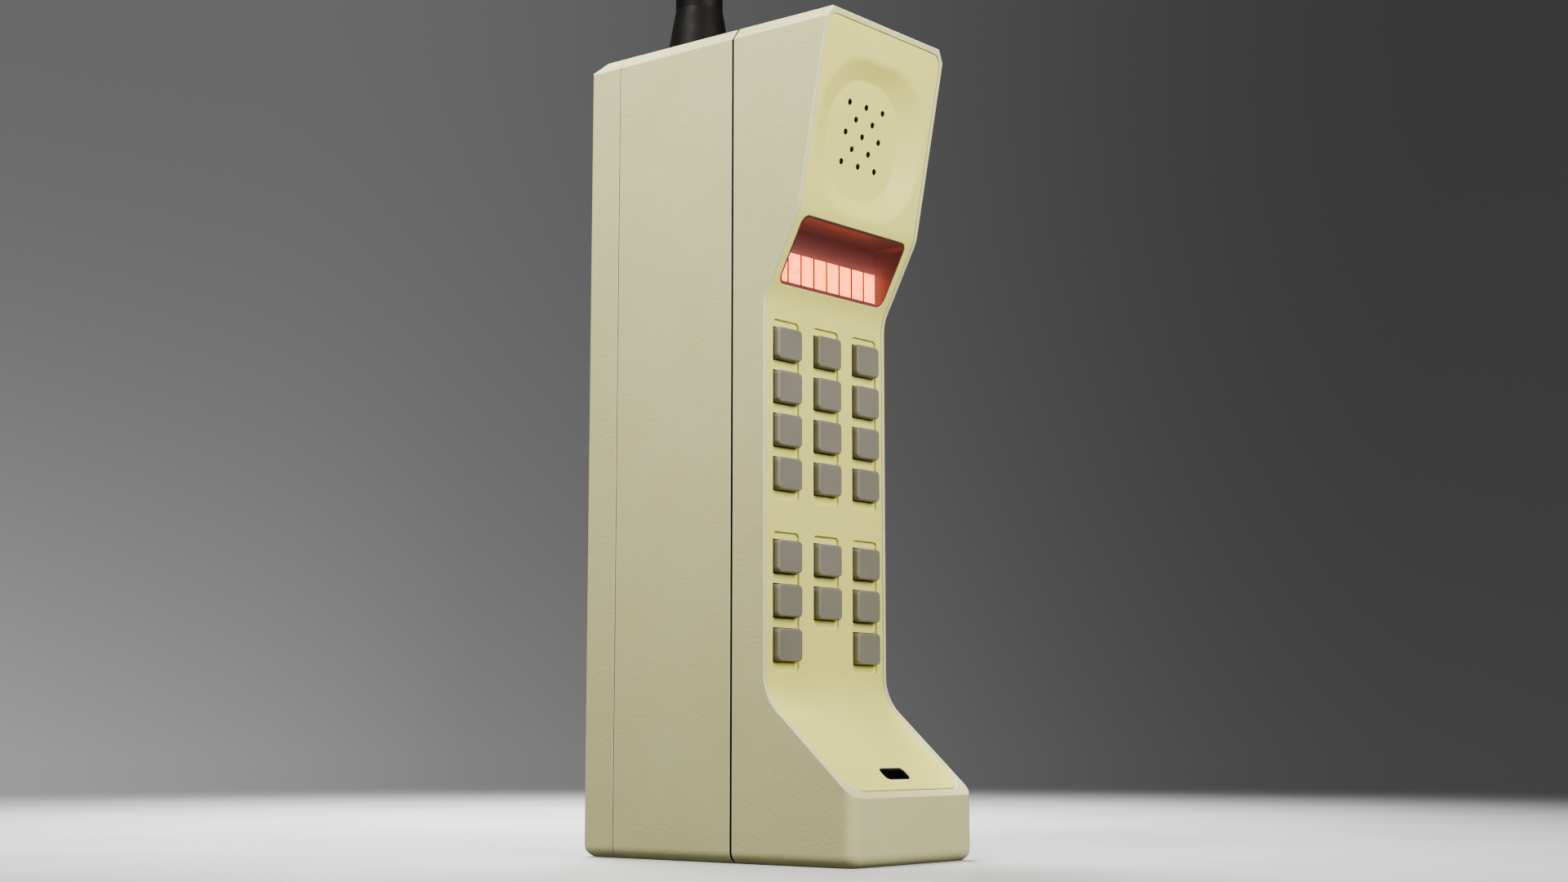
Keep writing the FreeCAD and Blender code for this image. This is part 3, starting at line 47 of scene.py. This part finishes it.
def srgb(red, green, blue):
    """Scene-linear colour of a colour given on the usual 0 to 255 scale."""
    parts = np.array([red, green, blue]) / 255.0
    linear = np.where(parts <= 0.04045, parts / 12.92, ((parts + 0.055) / 1.055) ** 2.4)
    return tuple(float(part) for part in linear) + (1.0,)


# ---------------------------------------------------------------------------------------------
# Camera, floor and lights
# ---------------------------------------------------------------------------------------------

def place_camera():
    """Low camera in front and to the -X side, aimed slightly upwards."""
    camera = bpy.data.objects.new("camera", bpy.data.cameras.new("camera"))
    bpy.context.scene.collection.objects.link(camera)
    camera.data.lens = 50.0
    camera.data.sensor_width = 36.0
    camera.data.clip_start = 0.01
    camera.location = (-0.4559, -0.36975, 0.0324)
    camera.rotation_euler = (math.radians(90.0 + PITCH_UP), 0.0, math.radians(YAW))
    bpy.context.scene.camera = camera


def add_area_light(name, spot, target, size, power, spread):
    """A square softbox at spot that faces target; spread is its beam in degrees."""
    lamp = bpy.data.lights.new(name, "AREA")
    lamp.shape = "SQUARE"
    lamp.size = size
    lamp.energy = power
    lamp.spread = math.radians(spread)
    light = bpy.data.objects.new(name, lamp)
    light.location = spot
    light.rotation_mode = "QUATERNION"
    light.rotation_quaternion = (Vector(target) - Vector(spot)).to_track_quat("-Z", "Y")
    bpy.context.scene.collection.objects.link(light)


def light_studio():
    """Key light from above on the -X side, a front light, and a pool of light on the floor."""
    bpy.context.scene.view_settings.look = "AgX - Medium High Contrast"
    add_area_light("key_softbox", (-0.32, 0.02, 0.5), (-0.03, 0.0, 0.21), size=0.28,
                   power=0.7, spread=80.0)
    add_area_light("front_softbox", (-0.04, -0.46, 0.32), (0.0, -0.02, 0.2), size=0.3,
                   power=1.5, spread=120.0)
    add_area_light("floor_softbox", (0.16, 0.28, 0.8), (0.16, 0.28, 0.0), size=0.3,
                   power=3.6, spread=76.0)


def build_world():
    """A grey studio: brighter towards +Y and towards the floor, darker towards +X."""
    world = bpy.data.worlds.new("studio")
    bpy.context.scene.world = world
    world.use_nodes = True
    nodes, links = world.node_tree.nodes, world.node_tree.links
    way = nodes.new("ShaderNodeTexCoord")
    split = nodes.new("ShaderNodeSeparateXYZ")
    links.new(way.outputs["Generated"], split.inputs[0])
    across = nodes.new("ShaderNodeMath")
    across.operation = "SUBTRACT"
    links.new(split.outputs["Y"], across.inputs[0])
    links.new(split.outputs["X"], across.inputs[1])

    def ranged(value, from_low, from_high, to_low, to_high, shape="LINEAR"):
        made = nodes.new("ShaderNodeMapRange")
        made.interpolation_type = shape
        for name, number in (("From Min", from_low), ("From Max", from_high),
                             ("To Min", to_low), ("To Max", to_high)):
            made.inputs[name].default_value = number
        links.new(value, made.inputs["Value"])
        return made.outputs[0]

    def combined(operation, first, second):
        made = nodes.new("ShaderNodeMath")
        made.operation = operation
        for socket, value in zip(made.inputs, (first, second)):
            if isinstance(value, float):
                socket.default_value = value
            else:
                links.new(value, socket)
        return made.outputs[0]

    side = across.outputs[0]
    wall = ranged(side, -0.55, 0.2, 0.06, 0.149, "SMOOTHSTEP")
    lift = combined("ADD", ranged(side, -0.62, 0.05, 0.22, 0.56),
                    ranged(side, 0.05, 0.34, 0.0, 0.7))
    low = combined("POWER", ranged(split.outputs["Z"], 0.33, -0.01, 0.0, 1.0), 2.2)
    low = combined("MULTIPLY", low, ranged(split.outputs["Z"], -0.14, -0.04, 0.0, 1.0))
    glow = combined("ADD", combined("MULTIPLY", low, lift), 1.0)
    both = combined("MULTIPLY", wall, glow)
    background = nodes["Background"]
    links.new(both, background.inputs["Color"])
    background.inputs["Strength"].default_value = 1.0


def new_mesh_piece(name, points, faces):
    """An object from an array of points and an array of faces, at the origin."""
    mesh = bpy.data.meshes.new(name)
    mesh.from_pydata(np.asarray(points).tolist(), [], np.asarray(faces).tolist())
    mesh.update()
    mesh.polygons.foreach_set("use_smooth", np.full(len(mesh.polygons), True))
    piece = bpy.data.objects.new(name, mesh)
    bpy.context.scene.collection.objects.link(piece)
    return piece


def ring_faces(rows, columns):
    """Quads between rows of points that each close on themselves."""
    row = np.arange(rows - 1)[:, None]
    column = np.arange(columns)[None, :]
    following = (column + 1) % columns
    corners = [row * columns + column, row * columns + following,
               (row + 1) * columns + following, (row + 1) * columns + column]
    return np.stack([np.broadcast_to(c, corners[0].shape) for c in corners], axis=-1).reshape(-1, 4)


def build_floor():
    """A round pale floor: rings of points, radius times the cosine and sine of the angle."""
    rings = np.linspace(0.0, 1.0, FLOOR_RINGS + 1)[1:] * FLOOR_RADIUS
    angles = np.linspace(0.0, 2 * math.pi, FLOOR_SPOKES, endpoint=False)
    points = np.stack([rings[:, None] * np.cos(angles), rings[:, None] * np.sin(angles),
                       np.zeros((len(rings), len(angles)))], axis=-1).reshape(-1, 3)
    faces = ring_faces(len(rings), len(angles))
    floor = new_mesh_piece("floor", points, faces)
    middle = new_mesh_piece("floor_middle", points[:len(angles)], [list(range(len(angles)))])
    finish = Finish("floor_paper")
    finish.base(finish.tint(srgb(226, 226, 226), srgb(219, 219, 219), finish.noise(6.0, 3.0)))
    finish.rough(0.32, 0.42, finish.noise(14.0, 2.0))
    reach = finish.node("ShaderNodeVectorMath", operation="LENGTH")
    finish.link(finish.place, reach.inputs[0])
    fade = finish.node("ShaderNodeMapRange", interpolation_type="SMOOTHERSTEP")
    for name, number in (("From Min", FLOOR_SOLID), ("From Max", FLOOR_GONE),
                         ("To Min", 1.0), ("To Max", 0.0)):
        fade.inputs[name].default_value = number
    finish.link(reach.outputs["Value"], fade.inputs["Value"])
    finish.link(fade.outputs[0], finish.shader.inputs["Alpha"])
    for part in (floor, middle):
        part.data.materials.append(finish.material)
        part.visible_diffuse = False


# ---------------------------------------------------------------------------------------------
# Finishes
# ---------------------------------------------------------------------------------------------

class Finish:
    """One procedural material. Patterns are laid out in the object's own coordinates."""

    def __init__(self, name):
        self.material = bpy.data.materials.new(name)
        self.material.use_nodes = True
        self.nodes = self.material.node_tree.nodes
        self.shader = self.nodes["Principled BSDF"]
        self.coordinates = self.node("ShaderNodeTexCoord")
        self.place = self.coordinates.outputs["Object"]
        self.normal = None

    def node(self, kind, **properties):
        made = self.nodes.new(kind)
        for key, value in properties.items():
            setattr(made, key, value)
        return made

    def link(self, output, socket):
        self.material.node_tree.links.new(output, socket)

    def stretched(self, scale):
        """Object coordinates scaled by (x, y, z), for drawn-out patterns."""
        mapping = self.node("ShaderNodeMapping")
        mapping.inputs["Scale"].default_value = scale
        self.link(self.place, mapping.inputs["Vector"])
        return mapping.outputs[0]

    def noise(self, scale, detail=4.0, roughness=0.5, place=None):
        """Fractal noise from 0 to 1; scale is in blotches per metre."""
        made = self.node("ShaderNodeTexNoise")
        made.inputs["Scale"].default_value = scale
        made.inputs["Detail"].default_value = detail
        made.inputs["Roughness"].default_value = roughness
        self.link(place or self.place, made.inputs["Vector"])
        return made.outputs["Fac"]

    def cells(self, scale):
        """Distance to the nearest of scattered points; scale is in cells per metre."""
        made = self.node("ShaderNodeTexVoronoi", feature="SMOOTH_F1")
        made.inputs["Scale"].default_value = scale
        self.link(self.place, made.inputs["Vector"])
        return made.outputs["Distance"]

    def bands(self, scale, axis, distortion=0.0):
        """Parallel bands across one axis."""
        made = self.node("ShaderNodeTexWave", wave_type="BANDS", bands_direction=axis)
        made.inputs["Scale"].default_value = scale
        made.inputs["Distortion"].default_value = distortion
        self.link(self.place, made.inputs["Vector"])
        return made.outputs["Fac"]

    def between(self, value, low, high, out_low=0.0, out_high=1.0):
        """The value with low..high stretched to out_low..out_high and clamped."""
        made = self.node("ShaderNodeMapRange")
        for name, number in (("From Min", low), ("From Max", high),
                             ("To Min", out_low), ("To Max", out_high)):
            made.inputs[name].default_value = number
        self.link(value, made.inputs["Value"])
        return made.outputs[0]

    def math(self, operation, first, second):
        made = self.node("ShaderNodeMath", operation=operation)
        for socket, value in zip(made.inputs, (first, second)):
            if isinstance(value, float):
                socket.default_value = value
            else:
                self.link(value, socket)
        return made.outputs[0]

    def tint(self, first, second, amount):
        """Colour that goes from first to second with amount; either may be another output."""
        made = self.node("ShaderNodeMix", data_type="RGBA")
        for socket, value in ((made.inputs[6], first), (made.inputs[7], second)):
            if isinstance(value, tuple):
                socket.default_value = value
            else:
                self.link(value, socket)
        self.link(amount, made.inputs[0])
        return made.outputs[2]

    def base(self, colour):
        self.link(colour, self.shader.inputs["Base Color"])

    def rough(self, low, high, amount):
        self.link(self.between(amount, 0.25, 0.75, low, high), self.shader.inputs["Roughness"])

    def bump(self, height, depth):
        """Raises the surface by up to depth metres with height; calls add up."""
        made = self.node("ShaderNodeBump")
        made.inputs["Strength"].default_value = 1.0
        made.inputs["Distance"].default_value = depth
        self.link(height, made.inputs["Height"])
        if self.normal is not None:
            self.link(self.normal, made.inputs["Normal"])
        self.normal = made.outputs[0]
        self.link(self.normal, self.shader.inputs["Normal"])

    def edges(self, radius):
        """About 1 on edges rounder than radius and 0 on flat skin."""
        bevel = self.node("ShaderNodeBevel", samples=4)
        bevel.inputs["Radius"].default_value = radius
        plain = self.node("ShaderNodeNewGeometry")
        same = self.node("ShaderNodeVectorMath", operation="DOT_PRODUCT")
        self.link(bevel.outputs[0], same.inputs[0])
        self.link(plain.outputs["Normal"], same.inputs[1])
        return self.between(same.outputs["Value"], 1.0, 0.86)

    def set(self, **sockets):
        for name, value in sockets.items():
            self.shader.inputs[name.replace("_", " ")].default_value = value


def moulded(name, colour, shade, grain, depth, roughness, worn_and_highlit=None):
    """Moulded plastic: mottled colour, leather-like grain, uneven sheen, paler edges that are
    partly wear and partly a painted highlight.
    """
    finish = Finish(name)
    cloud = finish.noise(34.0, 5.0, 0.6)
    skin = finish.tint(colour, shade, finish.between(cloud, 0.3, 0.72))
    pebble = finish.cells(grain)
    fine = finish.noise(grain * 1.7, 3.0, 0.6)
    leather = finish.math("ADD", finish.math("MULTIPLY", pebble, 0.6),
                          finish.math("MULTIPLY", fine, 0.7))
    if worn_and_highlit is not None:
        # paler edges: partly wear, partly a painted highlight where rounded edges catch the light
        wear_and_highlight = finish.math("MULTIPLY", finish.edges(0.7 * MILLIMETRE),
                           finish.between(finish.noise(160.0, 4.0), 0.35, 0.6, 0.35, 1.0))
        skin = finish.tint(skin, worn_and_highlit, wear_and_highlight)
    finish.base(skin)
    finish.rough(roughness - 0.06, roughness + 0.08, finish.noise(90.0, 4.0))
    finish.bump(leather, depth)
    finish.set(IOR=1.48, Specular_IOR_Level=0.28)
    return finish.material


def metal(name, colour, tarnish, roughness, brushed):
    """Bare metal: brushed along one axis, with patches of duller tarnish."""
    finish = Finish(name)
    patches = finish.between(finish.noise(180.0, 5.0, 0.6), 0.42, 0.68)
    finish.base(finish.tint(colour, tarnish, patches))
    strokes = finish.noise(900.0, 3.0, 0.6, finish.stretched(brushed))
    finish.rough(roughness - 0.05, roughness + 0.15, strokes)
    finish.bump(strokes, 0.01 * MILLIMETRE)
    finish.set(Metallic=1.0)
    return finish.material


def soft_rubber(name, colour, shade, roughness, depth=0.02 * MILLIMETRE, gloss=0.1):
    """Moulded rubber: dull, dusty in patches, very fine grain."""
    finish = Finish(name)
    dust = finish.between(finish.noise(120.0, 6.0, 0.65), 0.5, 0.75)
    finish.base(finish.tint(colour, shade, dust))
    finish.rough(roughness - 0.08, roughness + 0.1, finish.noise(260.0, 4.0))
    finish.bump(finish.noise(2400.0, 3.0, 0.7), depth)
    finish.set(Specular_IOR_Level=gloss)
    return finish.material


def circuit_board(name):
    """Green lacquered board: copper tracks under the lacquer show as paler, raised lines."""
    finish = Finish(name)
    brick = finish.node("ShaderNodeTexBrick")
    brick.inputs["Scale"].default_value = 160.0
    brick.inputs["Mortar Size"].default_value = 0.035
    turned = finish.node("ShaderNodeMapping")
    turned.inputs["Rotation"].default_value = (math.radians(90.0), 0.0, 0.0)
    finish.link(finish.place, turned.inputs["Vector"])
    finish.link(turned.outputs[0], brick.inputs["Vector"])
    tracks = brick.outputs["Fac"]
    lacquer = finish.tint(srgb(22, 74, 44), srgb(16, 58, 36), finish.noise(60.0))
    finish.base(finish.tint(lacquer, srgb(62, 120, 60), tracks))
    finish.rough(0.25, 0.4, finish.noise(300.0))
    finish.bump(tracks, 0.03 * MILLIMETRE)
    return finish.material


def lit_segment(name):
    """Glowing filter of one display digit: glowing unevenly in patches on its front faces, faintly
    ribbed.
    """
    finish = Finish(name)
    ribs = finish.bands(900.0, "Z")
    patch = finish.noise(240.0, 3.0)
    finish.base(finish.tint(srgb(255, 120, 96), srgb(240, 90, 70), patch))
    glow = finish.tint((1.0, 0.2, 0.042, 1.0), (1.0, 0.17, 0.034, 1.0), ribs)
    finish.link(glow, finish.shader.inputs["Emission Color"])
    ahead = finish.node("ShaderNodeSeparateXYZ")
    finish.link(finish.coordinates.outputs["Normal"], ahead.inputs[0])
    front = finish.between(ahead.outputs["Y"], -0.4, -0.8)
    strength = finish.math("MULTIPLY", finish.between(patch, 0.3, 0.7, 3.6, 4.3), front)
    finish.link(strength, finish.shader.inputs["Emission Strength"])
    finish.rough(0.3, 0.4, patch)
    finish.bump(ribs, 0.01 * MILLIMETRE)
    return finish.material


def painted_glow_well(name):
    """Dark red liner with a painted glow for the display's light: the painted glow dies off with
    distance from the digits.
    """
    finish = Finish(name)
    low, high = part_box("display_digits")
    centre, reach = (low + high) / 2, (high - low) / 2
    value = finish.place
    for operation, amount in (("SUBTRACT", centre), ("ABSOLUTE", None), ("SUBTRACT", reach),
                              ("MAXIMUM", Vector((0.0, 0.0, 0.0))), ("LENGTH", None)):
        step = finish.node("ShaderNodeVectorMath", operation=operation)
        finish.link(value, step.inputs[0])
        if amount is not None:
            step.inputs[1].default_value = amount
        value = step.outputs["Value" if operation == "LENGTH" else "Vector"]
    # painted glow: liner emission standing in for the display's light, halving with distance from
    # the digits over a constant painted glow
    painted_glow_falloff = finish.math("POWER", 0.5, finish.math("MULTIPLY", value, 1 / PAINTED_GLOW_HALVES))
    painted_glow_beside_digits = finish.between(value, 0.0, BESIDE_DIGITS, 0.1, 1.0)
    painted_glow_strength = finish.math("ADD", finish.math("MULTIPLY", painted_glow_falloff, 0.7), 0.21)
    painted_glow_strength = finish.math("MULTIPLY", painted_glow_strength, painted_glow_beside_digits)
    grain = finish.noise(1400.0, 3.0, 0.6)
    finish.base(finish.tint(srgb(28, 12, 10), srgb(23, 10, 8), finish.noise(60.0)))
    # colour of the painted red glow of the display's light on the liner
    finish.link(finish.tint((0.44, 0.12, 0.1, 1.0), (0.4, 0.11, 0.092, 1.0), grain),
                finish.shader.inputs["Emission Color"])
    finish.link(painted_glow_strength, finish.shader.inputs["Emission Strength"])
    finish.rough(0.38, 0.5, grain)
    finish.bump(grain, 0.02 * MILLIMETRE)
    return finish.material


def shrink_sleeve(name):
    """Printed-free plastic sleeve round a battery cell: faint rings and scuffs."""
    finish = Finish(name)
    rings = finish.bands(70.0, "Z", distortion=0.6)
    film = finish.tint(srgb(38, 74, 92), srgb(30, 60, 78), rings)
    scuffs = finish.between(finish.noise(420.0, 5.0, 0.7), 0.62, 0.7)
    finish.base(finish.tint(film, srgb(96, 118, 126), scuffs))
    finish.rough(0.22, 0.36, finish.noise(150.0))
    finish.bump(rings, 0.05 * MILLIMETRE)
    return finish.material


def make_finishes():
    """Every material slot of the record and its material."""
    brush_up = (6.0, 6.0, 0.3)
    mm = MILLIMETRE
    return {
        # the paler edge colours below are partly wear and partly a painted highlight
        "shell": moulded("case_plastic", srgb(214, 211, 159), srgb(209, 205, 151), 1300.0,
                         0.1 * mm, 0.5, worn_and_highlit=srgb(232, 228, 200)),
        "plate": moulded("face_plastic", srgb(231, 228, 134), srgb(226, 222, 126), 1500.0,
                         0.03 * mm, 0.46, worn_and_highlit=srgb(230, 224, 166)),
        "key": moulded("key_plastic", srgb(132, 128, 114), srgb(122, 118, 105), 1300.0,
                       0.11 * mm, 0.52, worn_and_highlit=srgb(156, 149, 136)),
        "well": painted_glow_well("well_plastic_painted_glow"),
        "tray": moulded("tray_plastic", srgb(120, 116, 98), srgb(110, 106, 90), 700.0,
                        0.08 * mm, 0.55),
        "latch": moulded("latch_plastic", srgb(52, 51, 48), srgb(44, 43, 41), 1200.0,
                         0.08 * mm, 0.5, worn_and_highlit=srgb(88, 86, 80)),
        "chip": moulded("chip_resin", srgb(28, 28, 31), srgb(22, 22, 25), 2200.0,
                        0.03 * mm, 0.55),
        "paper": moulded("cone_paper", srgb(38, 37, 35), srgb(28, 27, 26), 900.0,
                         0.12 * mm, 0.8),
        "digits": lit_segment("display_glow"),
        "board": circuit_board("board_lacquer"),
        "cell": shrink_sleeve("cell_sleeve"),
        "gasket": soft_rubber("gasket_rubber", srgb(14, 13, 11), srgb(20, 19, 16), 0.8),
        "rubber": soft_rubber("antenna_rubber", srgb(18, 16, 13), srgb(24, 22, 18), 0.54,
                              gloss=0.16),
        "foam": soft_rubber("foam_rubber", srgb(20, 20, 19), srgb(28, 27, 26), 0.9, 0.12 * mm,
                            gloss=0.05),
        "silicone": soft_rubber("mat_silicone", srgb(112, 110, 104), srgb(124, 121, 114), 0.6),
        "steel": metal("plain_steel", (0.56, 0.56, 0.57, 1.0), (0.4, 0.39, 0.37, 1.0), 0.3,
                       brush_up),
        "magnet": metal("ground_iron", (0.2, 0.2, 0.21, 1.0), (0.13, 0.12, 0.12, 1.0), 0.5,
                        (3.0, 0.4, 3.0)),
        "aluminium": metal("satin_aluminium", (0.76, 0.76, 0.77, 1.0), (0.62, 0.62, 0.62, 1.0),
                           0.34, brush_up),
        "brass": metal("plain_brass", (0.74, 0.53, 0.24, 1.0), (0.5, 0.33, 0.14, 1.0), 0.28,
                       brush_up),
        "tin": metal("tinned_sheet", (0.68, 0.68, 0.66, 1.0), (0.5, 0.5, 0.48, 1.0), 0.32,
                     (1.0, 1.0, 1.0)),
        "silver": metal("plated_silver", (0.8, 0.79, 0.76, 1.0), (0.6, 0.56, 0.48, 1.0), 0.26,
                        brush_up),
    }


def dress_frame_nodes(finishes):
    """Give every carried-over solid the finish of its own material slot."""
    for part in frame["record"]["subparts"]:
        piece = frame["nodes"][part["node"]]
        piece.data.materials.clear()
        piece.data.materials.append(finishes[part["material_slot"]])


place_camera()
light_studio()
build_world()
build_floor()
dress_frame_nodes(make_finishes())
